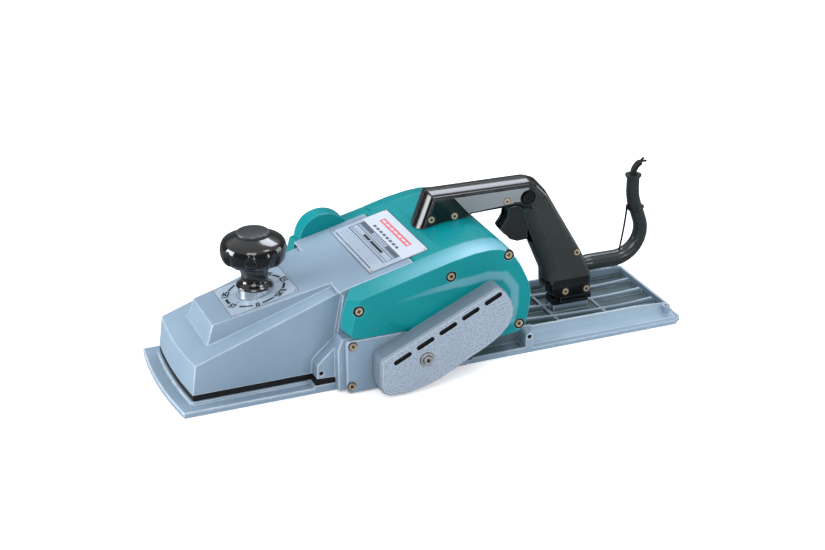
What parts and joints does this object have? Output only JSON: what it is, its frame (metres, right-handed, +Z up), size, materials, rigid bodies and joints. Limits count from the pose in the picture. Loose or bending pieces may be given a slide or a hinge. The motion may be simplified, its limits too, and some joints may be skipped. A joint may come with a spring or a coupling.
{
  "type": "electric hand planer",
  "caption": "Wide electric hand planer with lifting front base, belt-driven cutter drum, closed rear handle with trigger and lock, front depth knob and ribbed rear base.",
  "frame": {"origin": "on the sole plane at mid-width, straight below the cutter-drum axis", "axes": "+X along the tool towards the rear of the base (the front knob is towards -X), -Y towards the belt cover, +Z up from the sole"},
  "size_m": [0.588, 0.2328, 0.1756],
  "materials": {
    "cast_paint": "smooth light blue-grey enamel over aluminium casting",
    "teal_plastic": "semi-gloss moulded teal plastic",
    "hammer_paint": "hammertone speckled grey enamel",
    "handle_plastic": "fine-grained black moulded plastic",
    "knob_phenolic": "polished black phenolic",
    "knob_cap_grey": "dark grey gloss disc",
    "screw_nickel": "yellow-passivated steel",
    "plated_steel": "ground bright steel",
    "dark_steel": "black oxide steel",
    "lamination": "stacked electrical steel",
    "copper": "enamelled copper winding",
    "brass_part": "turned brass",
    "carbon": "pressed carbon",
    "black_part": "black moulded plastic",
    "rubber_black": "black rubber",
    "rubber_grey": "dark grey rubber",
    "plate_alu": "brushed aluminium plate with printed marks",
    "ring_silver": "turned aluminium",
    "pulley_alu": "turned aluminium"
  },
  "bodies": {
    "body": {"main_frame": "cast_paint", "base_gap_seal": "rubber_black", "base_guide_pins": "plated_steel", "rear_base": "cast_paint", "rear_base_bolts": "dark_steel", "side_plate": "cast_paint", "side_plate_screws": "screw_nickel", "motor_housing": "teal_plastic", "side_cover": "teal_plastic", "side_cover_screws": "screw_nickel", "end_cover": "teal_plastic", "end_cover_screws": "screw_nickel", "chip_hood": "teal_plastic", "belt_cover": "hammer_paint", "belt_cover_screw": "screw_nickel", "drive_belt": "rubber_black", "bearing_outer_rings": "plated_steel", "bearing_balls": "plated_steel", "stator_core": "lamination", "stator_windings": "copper", "air_baffle": "black_part", "brush_holders": "brass_part", "carbon_brushes": "carbon", "brush_caps": "black_part", "handle_left": "handle_plastic", "handle_right": "handle_plastic", "handle_screws": "screw_nickel", "handle_mount_bolts": "dark_steel", "switch_body": "black_part", "trigger_pin": "plated_steel", "trigger_spring": "plated_steel", "lock_spring": "plated_steel", "knob_collar": "ring_silver", "depth_spring": "plated_steel", "scale_plate": "plate_alu", "name_plate": "plate_alu", "plate_rivets": "plated_steel", "cord_guard": "rubber_grey", "power_cord": "rubber_black"},
    "front_base": {"front_base": "cast_paint"},
    "depth_adjuster": {"depth_knob": "knob_phenolic", "knob_cap": "knob_cap_grey", "depth_screw": "plated_steel"},
    "cutter": {"cutter_drum": "plated_steel", "planer_blades": "plated_steel", "blade_clamps": "pulley_alu", "blade_bolts": "dark_steel", "drum_pulley": "pulley_alu", "drum_pulley_bolt": "dark_steel", "drum_bearing_inner_rings": "plated_steel"},
    "motor": {"armature_shaft": "plated_steel", "armature_core": "lamination", "armature_winding": "copper", "commutator": "copper", "cooling_fan": "black_part", "motor_pulley": "pulley_alu", "motor_pulley_nut": "dark_steel", "motor_bearing_inner_rings": "plated_steel"},
    "trigger": {"trigger": "handle_plastic"},
    "lock_button": {"lock_button": "black_part"}
  },
  "joints": [
    {"name": "front_base_lift", "type": "slide", "parent": "body", "child": "front_base", "axis": [0, 0, 1], "range_m": [0, 0.002], "deforming": ["base_gap_seal", "depth_spring"]},
    {"name": "depth_knob_turn", "type": "hinge", "parent": "body", "child": "depth_adjuster", "pos_m": [-0.124, 0, 0.1], "axis": [0, 0, -1], "range_deg": [0, 360]},
    {"name": "drum_spin", "type": "hinge", "parent": "body", "child": "cutter", "pos_m": [0, 0, 0.027], "axis": [0, 1, 0], "continuous": true},
    {"name": "motor_spin", "type": "hinge", "parent": "body", "child": "motor", "pos_m": [0.086, 0, 0.075], "axis": [0, 1, 0], "continuous": true},
    {"name": "trigger_pull", "type": "hinge", "parent": "body", "child": "trigger", "pos_m": [0.186, 0, 0.1384], "axis": [0, -1, 0], "range_deg": [0, 8], "deforming": ["trigger_spring"]},
    {"name": "lock_push", "type": "slide", "parent": "body", "child": "lock_button", "axis": [0, 1, 0], "range_m": [0, 0.003], "deforming": ["lock_spring"]}
  ],
  "couplings": [
    {"joint": "motor_spin", "follows": "drum_spin", "ratio": 1.2333},
    {"joint": "depth_knob_turn", "follows": "front_base_lift", "rad_per_m": 3141.5}
  ]
}
